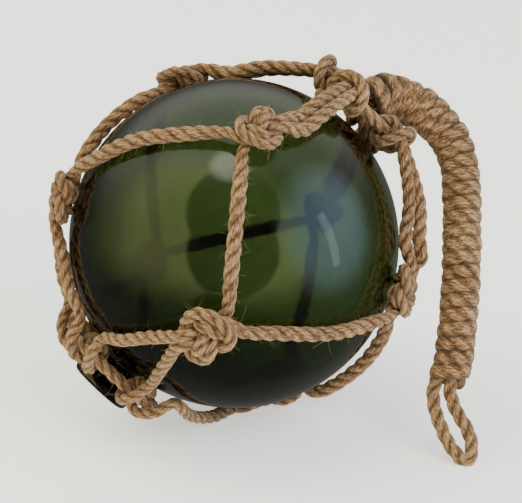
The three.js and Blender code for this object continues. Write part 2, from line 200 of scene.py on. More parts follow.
def new_material(name, values):
    """A node material whose shader has these plain values; also its nodes, links and shader."""
    material = bpy.data.materials.new(name)
    material.use_nodes = True
    tree = material.node_tree
    set_inputs(tree.nodes["Principled BSDF"], values)
    return material, tree.nodes, tree.links, tree.nodes["Principled BSDF"]


def bottle_glass():
    """Clear glass over a volume that absorbs; a slow noise mixes the skin's two greens."""
    material, nodes, links, shader = new_material("bottle_glass", {
        "Roughness": 0.05, "IOR": 1.5, "Transmission Weight": 1.0,
    })
    volume = nodes.new("ShaderNodeVolumeAbsorption")
    set_inputs(volume, {"Color": ABSORBED_TINT, "Density": ABSORBED_DENSITY})
    links.new(volume.outputs["Volume"], nodes["Material Output"].inputs["Volume"])
    coordinates = nodes.new("ShaderNodeTexCoord")
    waves = nodes.new("ShaderNodeTexNoise")
    set_inputs(waves, {"Scale": 26.0, "Detail": 2.0})
    links.new(coordinates.outputs["Object"], waves.inputs["Vector"])
    tint = nodes.new("ShaderNodeMix")
    tint.data_type = "RGBA"
    set_inputs(tint, {"A": GLASS_THICK, "B": GLASS_THIN})
    links.new(waves.outputs["Fac"], tint.inputs["Factor"])
    links.new(tint.outputs["Result"], shader.inputs["Base Color"])
    return material


glass = bottle_glass()
print("glass absorbs, per metre:", ABSORBED_DENSITY)

# %% [markdown]
# The ball is blown and then closed at its base by a button of glass, pressed on while hot. A
# lathe's way of drawing suits it: one profile of radii and heights is swung round the net's axis.
# The ball's profile is an arc, and the button's is a few points whose corners are rounded after.

# %% The outside of the ball, with its seal button
BUTTON_RADIUS = 12.0
BUTTON_RISE = 12.5
BUTTON_NECK = 9.5
BALL_SEGMENTS = 160
BALL_ROWS = 120
POLE_GAP = 0.004


def turned(radii, heights):
    """A surface of revolution: centre + axis x height + the way out x radius, all round."""
    around = np.linspace(0, 360, BALL_SEGMENTS, endpoint=False)
    ways = np.stack([outward(angle) for angle in around])
    return (
        ball_centre
        + crown_axis * heights[:, None, None]
        + ways[None] * radii[:, None, None]
    )


def ball_outside():
    """Radius x sin and radius x cos down to the button's neck, then the button's own profile.

    The button's corners are rounded by the mean of each five neighbouring points.
    """
    neck_angle = math.asin(BUTTON_NECK / BALL_RADIUS)
    angle = np.linspace(POLE_GAP, math.pi - neck_angle * 1.25, BALL_ROWS)
    face = BALL_RADIUS + BUTTON_RISE
    button = np.array([
        [BUTTON_NECK + 0.5, -(BALL_RADIUS - 0.4)],
        [BUTTON_NECK, -(BALL_RADIUS + 2.5)],
        [BUTTON_NECK + 0.1, -(face - 6.5)],
        [BUTTON_NECK + 1.0, -(face - 5.0)],
        [BUTTON_RADIUS - 0.4, -(face - 3.6)],
        [BUTTON_RADIUS, -(face - 2.3)],
        [BUTTON_RADIUS - 0.3, -(face - 1.0)],
        [BUTTON_RADIUS - 1.2, -(face - 0.2)],
        [BUTTON_RADIUS - 2.5, -face],
        [BUTTON_RADIUS - 5.5, -(face - 0.5)],
        [1.0, -(face - 0.9)],
    ])
    steps = np.linspace(0, len(button) - 1, 60)
    fine = np.stack([np.interp(steps, np.arange(len(button)), button[:, k]) for k in (0, 1)], 1)
    mean_of_five = np.ones(5) / 5
    middle = np.stack([np.convolve(fine[:, k], mean_of_five, "valid") for k in (0, 1)], 1)
    rounded = np.concatenate([fine[:1], middle, fine[-1:]])
    radii = np.concatenate([BALL_RADIUS * np.sin(angle), rounded[:, 0]])
    heights = np.concatenate([BALL_RADIUS * np.cos(angle), rounded[:, 1]])
    return radii, heights


ball = grid_object("glass_float_ball", turned(*ball_outside()))
print("ball and button, mm along the axis:", 2 * BALL_RADIUS + BUTTON_RISE)

# %% [markdown]
# A float is light because it is hollow. Its wall is a few millimetres thick and not even: hot
# glass sank towards the seal. The inner skin is a second profile, one wall in from the first, and
# its faces point into the hollow. A Solidify modifier could not thicken the wall only at the seal.

# %% The air inside
WALL = 3.0
SUNK_WALL = 1.6
SEAL_WALL = 4.0
SEAL_SPREAD = 0.28


def smoothstep(value, low, high):
    """0 up to low, 1 from high, and between them s x s x (3 - 2 s), s being the share passed."""
    share = np.clip((value - low) / (high - low), 0, 1)
    return share * share * (3 - 2 * share)


def ball_inside():
    """Radius less wall, x sin and x cos; the wall grows smoothly, and as a bell curve at the seal."""
    angle = np.linspace(POLE_GAP, math.pi - POLE_GAP, BALL_ROWS)
    wall = WALL + SUNK_WALL * smoothstep(angle, 1.2, 2.6)
    wall += SEAL_WALL * np.exp(-((math.pi - angle) / SEAL_SPREAD) ** 2)
    radius = BALL_RADIUS - wall
    return radius * np.sin(angle), radius * np.cos(angle)


hollow = grid_object("hollow_skin", turned(*ball_inside())[::-1])
print("wall, mm:", WALL, "to", WALL + SUNK_WALL + SEAL_WALL)

# %% [markdown]
# Old glass has small bubbles in its wall. White dots in a texture would look like dust on the
# skin. Real bubbles are air, so each is a small sphere inside the wall whose faces point to the
# air in it, and it bends the light as the real ones do. A few dozen faces are enough for each.

# %% Bubbles in the wall
BUBBLES = 60
BUBBLE_COLUMNS = 8
BUBBLE_ROWS = 5


def scattered(name, points, faces_of_one):
    """Many small pieces in one mesh: points is pieces x corners x 3, with the same faces for each."""
    count, corners = points.shape[:2]
    first_corner = corners * np.arange(count)[:, None]
    faces = []
    for face in faces_of_one:
        faces += (first_corner + np.array(face)[None]).tolist()
    return smooth_object(name, points.reshape(-1, 3), faces)


def faces_of_bubble():
    """Quads between the rings of a globe and a fan at each pole, all facing inwards."""
    top = BUBBLE_ROWS * BUBBLE_COLUMNS
    lowest = top - BUBBLE_COLUMNS
    faces = []
    for column in range(BUBBLE_COLUMNS):
        beside = (column + 1) % BUBBLE_COLUMNS
        faces.append((top, beside, column))
        faces.append((top + 1, lowest + column, lowest + beside))
        for row in range(BUBBLE_ROWS - 1):
            low, high = row * BUBBLE_COLUMNS, (row + 1) * BUBBLE_COLUMNS
            faces.append((low + column, low + beside, high + beside, high + column))
    return faces


def bubbles_in_wall(chance):
    """Middle + unit globe x radius: middles all over the ball, 0.7 to 2.2 mm under its skin."""
    around = np.linspace(0, 2 * np.pi, BUBBLE_COLUMNS, endpoint=False)
    down = np.linspace(0, np.pi, BUBBLE_ROWS + 2)[1:-1, None]
    globe = np.stack([np.sin(down) * np.cos(around), np.sin(down) * np.sin(around),
                      np.cos(down) + 0 * around], axis=-1).reshape(-1, 3)
    globe = np.concatenate([globe, [[0, 0, 1], [0, 0, -1]]])
    way = chance.normal(size=(BUBBLES, 3))
    way /= np.linalg.norm(way, axis=1)[:, None]
    middle = ball_centre + way * (BALL_RADIUS - chance.uniform(0.7, 2.2, (BUBBLES, 1)))
    radius = np.clip(chance.gamma(2.0, 0.09, (BUBBLES, 1, 1)), 0.08, 0.45)
    print("bubbles, mm across:", round(2 * radius.min(), 2), "to", round(2 * radius.max(), 2))
    return scattered("bubbles", middle[:, None] + globe[None] * radius, faces_of_bubble())


bubbles = bubbles_in_wall(np.random.default_rng(5))

# %% [markdown]
# Outer skin, hollow and bubbles bound one and the same piece of glass, so they become one mesh:
# then light knows where it enters the glass and where it leaves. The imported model's parts are
# left selected when they load, so the selection is set here for these three alone.

# %% One piece of glass
def dress(piece, material, slot, *nodes):
    """Gives the piece its material, and lets it ride on the body and stand for its nodes; slot is not
    used.
    """
    piece.data.materials.append(material)
    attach(piece, "root")
    if nodes:
        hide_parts(*nodes)
    print(piece.name, "faces:", len(piece.data.polygons))


for shown in bpy.context.scene.objects:
    shown.select_set(shown in (ball, hollow, bubbles))
bpy.context.view_layer.objects.active = ball
bpy.ops.object.join()
dress(ball, glass, "bottle_glass", "glass_ball")

# %% [markdown]
# A rope's course is a few given points. Straight pieces between them would
# show as kinks, so a smooth curve goes through them. It is of the kind that doesn't overshoot
# where points lie close together, as they do in a knot. Blender's own curves could do this too,
# but numbers in arrays can also be checked, measured and bent further.

# %% A smooth line through points
SAMPLES_A_SPAN = 12


def smooth_path(points):
    """A centripetal Catmull-Rom curve: points in fours, each gap the root of its length.

    Extra columns, such as the rope's thickness, are carried along.
    """
    first = 2 * points[0] - points[1]
    last = 2 * points[-1] - points[-2]
    points = np.concatenate([[first], points, [last]])
    p0, p1, p2, p3 = points[:-3], points[1:-2], points[2:-1], points[3:]

    def root_gap(a, b):
        return np.maximum(np.linalg.norm(b - a, axis=1), 1e-6) ** 0.5

    t1 = root_gap(p0, p1)[:, None]
    t2 = t1 + root_gap(p1, p2)[:, None]
    t3 = t2 + root_gap(p2, p3)[:, None]
    spans = []
    for share in np.linspace(0, 1, SAMPLES_A_SPAN, endpoint=False):
        t = t1 + (t2 - t1) * share
        a1 = p0 * (t1 - t) / t1 + p1 * t / t1
        a2 = p1 * (t2 - t) / (t2 - t1) + p2 * (t - t1) / (t2 - t1)
        a3 = p2 * (t3 - t) / (t3 - t2) + p3 * (t - t2) / (t3 - t2)
        b1 = a1 * (t2 - t) / t2 + a2 * t / t2
        b2 = a2 * (t3 - t) / (t3 - t1) + a3 * (t - t1) / (t3 - t1)
        spans.append(b1 * (t2 - t) / (t2 - t1) + b2 * (t - t1) / (t2 - t1))
    curve = np.stack(spans, axis=1).reshape(-1, points.shape[1])
    return np.concatenate([curve, points[-2:-1]])


def lengths_along(points):
    """The distance from the start to each point: the running sum of the steps between them."""
    steps = np.linalg.norm(np.diff(points[:, :3], axis=0), axis=1)
    return np.concatenate([[0], np.cumsum(steps)])


def read_at(place, along, rows):
    """Each column of the rows read at a place along them, in a straight line between two rows."""
    return np.stack([np.interp(place, along, rows[:, k]) for k in range(rows.shape[1])], 1)


def evenly(points, count):
    """The same line with its points spaced evenly; extra columns are carried along."""
    along = lengths_along(points)
    return read_at(np.linspace(0, along[-1], count), along, points)


def frames_along(path):
    """Ahead is the path's slope; across is carried on, less its share ahead; lift is their cross."""
    ahead = np.gradient(path, axis=0)
    ahead /= np.linalg.norm(ahead, axis=1)[:, None]
    across = np.zeros_like(path)
    start = np.cross([0.0, 0.0, 1.0], ahead[0])
    across[0] = start / np.linalg.norm(start)
    for i in range(1, len(path)):
        carried = across[i - 1] - ahead[i] * np.dot(across[i - 1], ahead[i])
        across[i] = carried / np.linalg.norm(carried)
    return ahead, across, np.cross(ahead, across)


# %% [markdown]
# Twine is three strands twisted together, and each strand is a bundle of yarns. Seen from the end
# it has three lobes. The lobes turn as one goes along, and the grooves between them catch the
# shade, so the outline itself must have them. A tube with a painted stripe would look like a hose.

# %% The rope's outline
STRANDS = 3
STRAND_OFFSET = 0.47
STRAND_RADIUS = 0.53
GROOVE_DEPTH = 0.62


def lobes(angle):
    """Where a ray from the rope's middle leaves the nearest strand: d cos a + root(r^2 - d^2 sin^2 a)."""
    third = 2 * np.pi / STRANDS
    near = (angle + third / 2) % third - third / 2
    inside = STRAND_RADIUS**2 - (STRAND_OFFSET * np.sin(near)) ** 2
    return STRAND_OFFSET * np.cos(near) + np.sqrt(inside)


print("outline, crest and groove:", lobes(np.array([0.0, np.pi / STRANDS])).round(2))

# %% [markdown]
# The fibres of a rope run along its yarns, and painted shade sits in its grooves. Both patterns
# must follow the rope through every bend, so each rope carries its own map of once round and
# along, and a number at each vertex that says how deep in a groove it lies, for the painted shade.

# %% A map that follows a cord
def corner_numbers(mesh):
    """The vertex number at each corner of each face."""
    numbers = np.zeros(len(mesh.loops), np.int32)
    mesh.loops.foreach_get("vertex_index", numbers)
    return numbers


def set_map(mesh, corner_uv):
    """Writes the UV map, one pair for each corner of each face."""
    mesh.uv_layers.new(name="UVMap").data.foreach_set("uv", corner_uv.reshape(-1))


def set_groove(mesh, depth):
    """Writes one number for each vertex, from 0 deep in a groove to 1 on a strand's crest; the jute paints
    shade by it.
    """
    layer = mesh.attributes.new("groove", "FLOAT", "POINT")
    layer.data.foreach_set("value", depth.astype(np.float32))


def map_cord(mesh, uv, groove):
    """u is the angle round and v the way along; where the grid closes, u goes on by one column."""
    rows, columns = uv.shape[:2]
    grid_size = rows * columns
    corner_vertex = corner_numbers(mesh)
    vertex_uv = np.zeros((len(mesh.vertices), 2), np.float32)
    vertex_uv[:grid_size] = uv.reshape(-1, 2)
    corner_uv = vertex_uv[corner_vertex]
    quad_corners = (rows - 1) * columns * 4
    in_last_column = np.repeat(np.tile(np.arange(columns), rows - 1) == columns - 1, 4)
    seam = np.zeros(len(corner_vertex), bool)
    seam[:quad_corners] = in_last_column & (corner_vertex[:quad_corners] % columns == 0)
    one_on = uv[:, -1, 0] + (uv[:, -1, 0] - uv[:, -2, 0])
    corner_uv[seam, 0] = one_on[corner_vertex[seam] // columns]
    set_map(mesh, corner_uv)
    depth = np.ones(len(mesh.vertices))
    depth[:grid_size] = groove.reshape(-1)
    set_groove(mesh, depth)


# %% [markdown]
# Now the outline is swept along the line and turned as it goes. A Curve object with a bevel
# profile could sweep it, but it wouldn't twist by the rope's own thickness, which changes inside
# the knots. Underneath, nothing reaches below the table on which the float rests.

# %% Rope as a lobed tube that twists
TABLE_GAP = 0.05
ROPE_SIDES = 24
ROPE_STEP = 0.8
LAY_LENGTH = 3.1
YARN_TURN = 0.25


def laid_rope(name, places):
    """Path + (across cos a + lift sin a) x half the thickness x outline(a - twist).

    places is rows of x, y, z and thickness in mm. The twist grows by one turn for each length
    along of LAY_LENGTH thicknesses.
    """
    line = smooth_path(places)
    total = lengths_along(line)[-1]
    line = evenly(line, int(total / ROPE_STEP) + 1)
    path, thickness = line[:, :3], line[:, 3]
    along = lengths_along(path)
    _, across, lift = frames_along(path)
    turns = np.concatenate([[0], np.cumsum(np.diff(along) / (LAY_LENGTH * thickness[1:]))])
    twist = turns * 2 * np.pi
    angle = np.linspace(0, 2 * np.pi, ROPE_SIDES, endpoint=False)
    shape = 1 - GROOVE_DEPTH * (1 - lobes(angle[None] - twist[:, None]))
    radius = thickness[:, None] / 2 * shape
    ring = across[:, None] * np.cos(angle)[None, :, None] + lift[:, None] * np.sin(angle)[None, :, None]
    points = path[:, None] + ring * radius[..., None]
    points[..., 2] = np.maximum(points[..., 2], TABLE_GAP)
    made = grid_object(name, points)
    uv = np.stack(np.broadcast_arrays(angle[None] - YARN_TURN * twist[:, None], along[:, None]), axis=-1)
    map_cord(made.data, uv, (shape - shape.min()) / (shape.max() - shape.min()))
    print(name, "length, mm:", round(total))
    return made, line


# %% [markdown]
# Each crossing of the net is an overhand knot tied in two ropes at once. Drawing one by hand never
# looks tight, so the script ties it as hands would: it starts from a loose knot and pulls. On each
# round the strands shorten a little, and wherever they come closer than one thickness they push
# each other apart. What is left when nothing moves is the true shape of the knot.

# %% A loose knot
KNOT_REACH = 6.0
KNOT_SPLIT = 0.66
KNOT_POINTS = 64


def loose_strand(side):
    """A trefoil, (2 + cos 3t) at angle 2t with height sin 3t, one lane to the side, and two ends.

    Its unit is the rope's thickness. The ends leave apart on one side and together on the other.
    """
    opening, size, lane = 0.34, 2.0, 0.55 * side
    turn = np.linspace(opening, 2 * np.pi - opening, 160)
    reach = size * (2 + np.cos(3 * turn))
    core = np.stack([reach * np.cos(2 * turn), reach * np.sin(2 * turn), 1.2 * size * np.sin(3 * turn)], 1)
    ahead = np.empty_like(core)
    ahead[1:-1] = core[2:] - core[:-2]
    ahead[0], ahead[-1] = core[1] - core[0], core[-1] - core[-2]
    beside = np.stack([-ahead[:, 1], ahead[:, 0], 0 * turn], 1)
    beside /= np.linalg.norm(beside, axis=1)[:, None]
    start, bend = 2.2 * size, 2.6 * size
    split_end = start - lane - 1.4 * KNOT_REACH * math.tan(KNOT_SPLIT) * side
    first = [[start + lane, 2 * KNOT_REACH, 0], [bend + lane, 1.2 * KNOT_REACH, 0.4 * size]]
    last = [[bend - lane, -1.2 * KNOT_REACH, -0.4 * size], [split_end, -2 * KNOT_REACH, 0]]
    return np.concatenate([first, core + beside * lane, last])


# %% [markdown]
# Pulling a knot tight is a small simulation. Cloth or soft bodies could do it, but slowly and not
# the same each time. Two strands of 64 points, each round straightened a little and then pushed
# apart, settle in a second and always alike. At the end the knot is pressed flat, as on the ball.

# %% The knot is pulled tight
KNOT_ROUNDS = 420
PUSHES_A_ROUND = 6
STRAIGHTENING = 0.6
PUSH = 0.3
LOOSE_FLATNESS = 3
KNOT_FLATNESS = 0.95


def tied_knot():
    """Each round: points move towards the mean of their neighbours, the ends are drawn in, and
    points nearer than one thickness part by a share of what is missing."""
    strands = np.stack([evenly(loose_strand(side), KNOT_POINTS) for side in (1, -1)])
    starts = strands[:, [0, -1]].copy()
    ends = np.array([
        [[0.5 * side, KNOT_REACH, 0],
         [-side * KNOT_REACH * math.sin(KNOT_SPLIT), -KNOT_REACH * math.cos(KNOT_SPLIT), 0]]
        for side in (1, -1)
    ])
    index = np.arange(2 * KNOT_POINTS)
    same_strand = index[:, None] // KNOT_POINTS == index[None] // KNOT_POINTS
    apart = np.abs(index[:, None] - index[None])
    for turn in range(KNOT_ROUNDS):
        drawn = min(1.0, 2 * (turn + 1) / KNOT_ROUNDS)
        pressed = min(1.0, max(0.0, (turn / KNOT_ROUNDS - 0.4) / 0.4))
        flatness = LOOSE_FLATNESS + (KNOT_FLATNESS - LOOSE_FLATNESS) * pressed
        middle = (strands[:, :-2] + strands[:, 2:]) / 2
        strands[:, 1:-1] += STRAIGHTENING * (middle - strands[:, 1:-1])
        strands[:, [0, -1]] = starts + (ends - starts) * drawn
        step = max(lengths_along(strand)[-1] for strand in strands) / KNOT_POINTS
        ignored = same_strand & (apart < math.ceil(1.7 / step))
        for _ in range(PUSHES_A_ROUND):
            points = strands.reshape(-1, 3)
            gap = points[:, None] - points[None]
            distance = np.sqrt((gap**2).sum(axis=2)) + 1e-9
            push = np.where(ignored | (distance > 1), 0, PUSH * (1 - distance) / distance)
            moved = (points + (gap * push[..., None]).sum(axis=1)).reshape(strands.shape)
            moved[..., 2] = np.clip(moved[..., 2], -flatness, flatness)
            strands[:, 1:-1] = moved[:, 1:-1]
        strands = np.stack([evenly(strand, KNOT_POINTS) for strand in strands])
    return strands


knot_shape = tied_knot()
print("knot strands, in rope thicknesses:", [round(lengths_along(s)[-1], 1) for s in knot_shape])

# %% [markdown]
# The net has four knots round its upper half and four round its lower half. Their places are read
# from the photograph as degrees from the crown and round the axis, and the hidden ones are spaced
# like the ones seen. The lowest knot carries the ball, so the rope beside it hangs slack.

# %% Where the knots and hitches are
NET_ROPE = 5.4
KNOT_ROPE = 3.0
LARGE_KNOT_ROPE = 3.6

crown_knots = [
    dict(down=64, around=15, turn=0, rope=KNOT_ROPE, slack=0, roll=60),
    dict(down=58, around=112, turn=-16, rope=KNOT_ROPE, slack=0),
    dict(down=62, around=194, turn=0, rope=KNOT_ROPE, slack=0),
    dict(down=60, around=288, turn=0, rope=KNOT_ROPE, slack=0),
]
base_knots = [
    dict(down=116, around=74, turn=-22, rope=LARGE_KNOT_ROPE, slack=0),
    dict(down=117, around=166, turn=0, rope=KNOT_ROPE, slack=0),
    dict(down=118, around=248, turn=0, rope=KNOT_ROPE, slack=0),
    dict(down=116, around=327, turn=4, rope=KNOT_ROPE, slack=3.4),
]
base_hitches = [50, 125, 194, 288]
print("knots:", len(crown_knots) + len(base_knots), "hitches on the base ring:", 2 * len(base_hitches))

# %% [markdown]
# Now the knots are laid on the ball. A knot's flat plan is wrapped over the sphere, its pair of
# ropes points to the crown or the base, and away from the knot the rope comes down to lie on the
# glass. A pair may also roll about its own middle, so that one rope rides above the other.

# %% A knot wrapped over the ball
CLEARANCE = 0.3
RESTING_HUG = NET_ROPE / 2 + CLEARANCE
SHOWN_IN_KNOT = 1.3
TAIL_REACH = 3.3


def turned_about(vector, axis, degrees):
    """A vector turned about an axis: v cos + (axis x v) sin + axis (axis . v)(1 - cos)."""
    angle = math.radians(degrees)
    return (
        vector * math.cos(angle)
        + np.cross(axis, vector) * math.sin(angle)
        + axis * np.dot(axis, vector) * (1 - math.cos(angle))
    )


def rolled_pair(points, degrees):
    """Two ropes side by side, middle + or - half, with half x cos sideways and 2 x half x sin up."""
    middle, half = (points[0] + points[1]) / 2, (points[0] - points[1]) / 2
    out = middle / np.linalg.norm(middle, axis=1)[:, None]
    angle = np.radians(degrees)[:, None]
    lift = out * np.linalg.norm(half, axis=1)[:, None] * np.sin(angle)
    swung = half * np.cos(angle)
    return np.stack([middle + swung + 2 * lift, middle - swung])


def knot_on_ball(place, flipped):
    """Rows of x, y, z and thickness for both strands: (normal cos b + way sin b) x height.

    The way is the plan's direction, and b is the plan's reach as an angle at the ball's centre.
    """
    normal = direction(place["down"], place["around"])
    up = direction(place["down"] - 90, place["around"])
    along = turned_about(up, normal, place["turn"] + (180 if flipped else 0))
    across = np.cross(along, normal)
    spacing = place["rope"] + CLEARANCE
    middle_height = KNOT_FLATNESS * spacing + place["rope"] / 2 + CLEARANCE
    pair_spread = max(1, (NET_ROPE + 1.5 * CLEARANCE) / spacing)
    reach = np.hypot(knot_shape[..., 0], knot_shape[..., 1])
    loosened = smoothstep(reach, 2.7, 4.8)
    sideways = knot_shape[..., 0] * (1 + (pair_spread - 1) * loosened)
    settle = smoothstep(reach, 2.6, KNOT_REACH)
    raised = middle_height + knot_shape[..., 2] * spacing
    height = raised + (RESTING_HUG + place["slack"] - raised) * settle
    angle = reach * spacing / (BALL_RADIUS + middle_height)
    way = along * knot_shape[..., 1, None] + across * sideways[..., None]
    way /= np.linalg.norm(way, axis=-1)[..., None]
    spot = normal * np.cos(angle)[..., None] + way * np.sin(angle)[..., None]
    points = spot * (BALL_RADIUS + height)[..., None]
    in_knot = place["rope"] * SHOWN_IN_KNOT
    thickness = in_knot + (NET_ROPE - in_knot) * loosened
    points = rolled_pair(points, smoothstep(knot_shape[0, :, 1], 2.4, 4.5) * place.get("roll", 0))
    rows = np.concatenate([points, thickness[..., None]], axis=-1)
    in_tail = (reach > TAIL_REACH) & (place["slack"] == 0)
    if not flipped:
        in_tail &= knot_shape[..., 1] < 0
    return [strand[~tail] for strand, tail in zip(rows, in_tail)]


crown_sets = [knot_on_ball(place, False) for place in crown_knots]
base_sets = [knot_on_ball(place, True) for place in base_knots]
print("points in the first knot:", [len(strand) for strand in crown_sets[0]])

# %% [markdown]
# Between knots the rope is pulled tight over the glass, so it takes the shortest way. The
# straight line between two points would cut through the ball. Its points are pushed out to the
# height that the rope has there, and the curve does the rest.

# %% Rope between the knots
def span_on_ball(start, end, shares):
    """start + (end - start) x share, each then put at the height start + (end - start) x share."""
    share = np.array(shares)[:, None]
    rows = start + (end - start) * share
    start_height, end_height = np.linalg.norm(start[:3]), np.linalg.norm(end[:3])
    height = start_height + (end_height - start_height) * share
    rows[:, :3] *= height / np.linalg.norm(rows[:, :3], axis=1)[:, None]
    return rows


def on_glass(row, slack):
    """Where a rope that leaves a knot would lie if it touched the glass there."""
    height = BALL_RADIUS + RESTING_HUG + slack
    return np.append(row[:3] * height / np.linalg.norm(row[:3]), NET_ROPE)


# %% [markdown]
# Each rope end is made fast on the base ring by going over it, inside it, under it and out. It is
# drawn in the ring's own directions: away from the base, off the glass, and along the ring. The
# turn is a circle round the ring's rope that moves on a little as it closes, like a screw.

# %% Hitches on the base ring
HITCH_ROPE = 3.9
RING_ROPE = 4.2
BASE_RING_RADIUS = 19.0
SHOWN_IN_HITCH = 1.1
GRIP = (RING_ROPE + HITCH_ROPE) / 2 + 1.5 * CLEARANCE


def with_thickness(points, thickness):
    """The points, each followed by the rope's thickness there."""
    return np.column_stack([points, np.full(len(points), thickness)])


def base_hitch(around, side):
    """normal x distance + away x a + normal x b + beside x c, for each row a, b, c of the steps."""
    height = RING_ROPE / 2 + HITCH_ROPE + 2 * CLEARANCE
    distance = BALL_RADIUS + height
    down = 180 - math.degrees(math.asin(BASE_RING_RADIUS / distance))
    sideways = math.degrees(side * HITCH_ROPE * 1.15 / BASE_RING_RADIUS)
    normal = direction(down, around + sideways)
    away = direction(down - 90, around + sideways)
    beside = np.cross(normal, away) * -side
    steps = np.array([
        [2.6 * GRIP, RESTING_HUG - height - 0.3, 0],
        [1.5 * GRIP, 0.45 * GRIP, 0],
        [0.7 * GRIP, 0.85 * GRIP, 0],
        [0, GRIP, 0.3],
        [-0.75 * GRIP, 0.7 * GRIP, 0.6],
        [-GRIP, 0, 1.0],
        [-0.7 * GRIP, -0.75 * GRIP, 1.4],
        [0, -GRIP, 1.8],
        [0.8 * GRIP, -0.75 * GRIP, 2.2],
    ])
    points = normal * distance + steps @ np.stack([away, normal, beside])
    return with_thickness(points, HITCH_ROPE * SHOWN_IN_HITCH)


# %% [markdown]
# At the crown each rope is doubled and its bight, the closed end, is hitched on the ring. So the
# two halves mirror each other: one table of angle, reach and side step serves both, with the side
# step turned round for the second.

# %% Hitches on the crown ring
CROWN_RING_RADIUS = 13.5


def crown_hitch(around):
    """core + (outward cos a + axis sin a) x reach + or - beside x step, from the legs to the bight."""
    core = crown_axis * (BALL_RADIUS + CROWN_RING_RISE) + outward(around) * CROWN_RING_RADIUS
    lane = (HITCH_ROPE + CLEARANCE) * 0.52
    beside = np.cross(crown_axis, outward(around))
    turns = np.array([
        [40, GRIP, lane],
        [90, GRIP, lane],
        [135, GRIP, lane],
        [180, GRIP, lane],
        [225, GRIP, lane * 1.1],
        [270, GRIP, lane * 1.6],
        [315, GRIP, lane * 2.7],
        [355, GRIP * 1.1, lane * 3.2],
        [385, GRIP * 1.55, lane * 2.7],
        [400, GRIP + HITCH_ROPE + CLEARANCE * 1.5, lane * 1.1],
    ])
    angle = np.radians(turns[:, :1])
    ring = outward(around) * np.cos(angle) + crown_axis * np.sin(angle)
    middle = core + ring * turns[:, 1:2]
    halves = [middle + beside * (side * turns[:, 2:3]) for side in (1, -1)]
    return [with_thickness(half, HITCH_ROPE * SHOWN_IN_HITCH) for half in halves]


# %% [markdown]
# Jute is a hairy, straw-brown fibre. Its colour changes from yarn to yarn, painted shade darkens it in
# the grooves between strands, and it has no shine. A wood or cloth texture would lie across the rope.
# So the colour and the fine relief read the rope's own map: streaks are stretched along the yarns.

# %% Helpers for the jute's nodes
def noise_node(nodes, links, source, scale, detail):
    """Smooth noise at a scale, from 0 to 1, with finer layers added by detail."""
    noise = nodes.new("ShaderNodeTexNoise")
    set_inputs(noise, {"Scale": scale, "Detail": detail, "Roughness": 0.6})
    links.new(source, noise.inputs["Vector"])
    return noise.outputs["Fac"]


def weighted(nodes, links, first, factor, second):
    """first x factor + second, as one node."""
    total = nodes.new("ShaderNodeMath")
    total.operation = "MULTIPLY_ADD"
    total.inputs[1].default_value = factor
    links.new(first, total.inputs[0])
    if isinstance(second, float):
        total.inputs[2].default_value = second
    else:
        links.new(second, total.inputs[2])
    return total.outputs["Value"]


# %% [markdown]
# Three things are added up before the colour is looked up: the streaks of the yarns, large
# patches of paler and browner fibre, and how high on a strand the point lies, a painted shade that
# is lighter on the crests. Then painted shade darkens the grooves once more, and the same streaks
# raise the surface a little.

# %% The jute itself
JUTE_DARK = (0.054, 0.0215, 0.0072, 1)
JUTE_MIDDLE = (0.192, 0.089, 0.039, 1)
JUTE_LIGHT = (0.51, 0.3, 0.162, 1)
YARN_STREAKS = (4.6, 0.5, 1)


def jute():
    """Colour = ramp(2.3 yarns - 1.07 + 0.6 patches + 0.3 groove) x (0.4 to 1 by groove); both groove terms
    paint shade.
    """
    material, nodes, links, shader = new_material("jute_rope", {
        "Roughness": 0.9, "Specular IOR Level": 0.2,
        "Sheen Weight": 0.3, "Sheen Roughness": 0.5, "Sheen Tint": (0.9, 0.75, 0.55, 1),
    })
    rope_map = nodes.new("ShaderNodeUVMap")
    rope_map.uv_map = "UVMap"
    yarn_map = nodes.new("ShaderNodeMapping")
    set_inputs(yarn_map, {"Scale": YARN_STREAKS})
    links.new(rope_map.outputs["UV"], yarn_map.inputs["Vector"])
    yarns = noise_node(nodes, links, yarn_map.outputs["Vector"], 1.0, 4.0)
    coordinates = nodes.new("ShaderNodeTexCoord")
    patches = noise_node(nodes, links, coordinates.outputs["Object"], 70.0, 3.0)
    groove = nodes.new("ShaderNodeAttribute")
    groove.attribute_name = "groove"

    level = weighted(nodes, links, yarns, 2.3, -1.07)
    level = weighted(nodes, links, patches, 0.6, level)
    # painted shade: the higher on a strand, the lighter the colour
    level = weighted(nodes, links, groove.outputs["Fac"], 0.3, level)
    ramp = nodes.new("ShaderNodeValToRGB")
    ramp.color_ramp.elements[0].position = 0.12
    ramp.color_ramp.elements[0].color = JUTE_DARK
    ramp.color_ramp.elements[1].position = 0.95
    ramp.color_ramp.elements[1].color = JUTE_LIGHT
    ramp.color_ramp.elements.new(0.48).color = JUTE_MIDDLE
    links.new(level, ramp.inputs["Fac"])

    # painted shade: the colour is multiplied by 0.4 deep in a groove, up to 1 on a crest
    depth = nodes.new("ShaderNodeMapRange")
    set_inputs(depth, {"From Max": 0.7, "To Min": 0.4, "To Max": 1.0})
    links.new(groove.outputs["Fac"], depth.inputs["Value"])
    shaded = nodes.new("ShaderNodeMix")
    shaded.data_type = "RGBA"
    shaded.blend_type = "MULTIPLY"
    set_inputs(shaded, {"Factor": 1.0})
    links.new(ramp.outputs["Color"], shaded.inputs["A"])
    links.new(depth.outputs["Result"], shaded.inputs["B"])
    links.new(shaded.outputs["Result"], shader.inputs["Base Color"])

    bump = nodes.new("ShaderNodeBump")
    set_inputs(bump, {"Strength": 1.0, "Distance": 0.0008})
    links.new(yarns, bump.inputs["Height"])
    links.new(bump.outputs["Normal"], shader.inputs["Normal"])
    return material


jute_rope = jute()
print("jute, from groove to crest:", JUTE_DARK[:3], JUTE_LIGHT[:3])

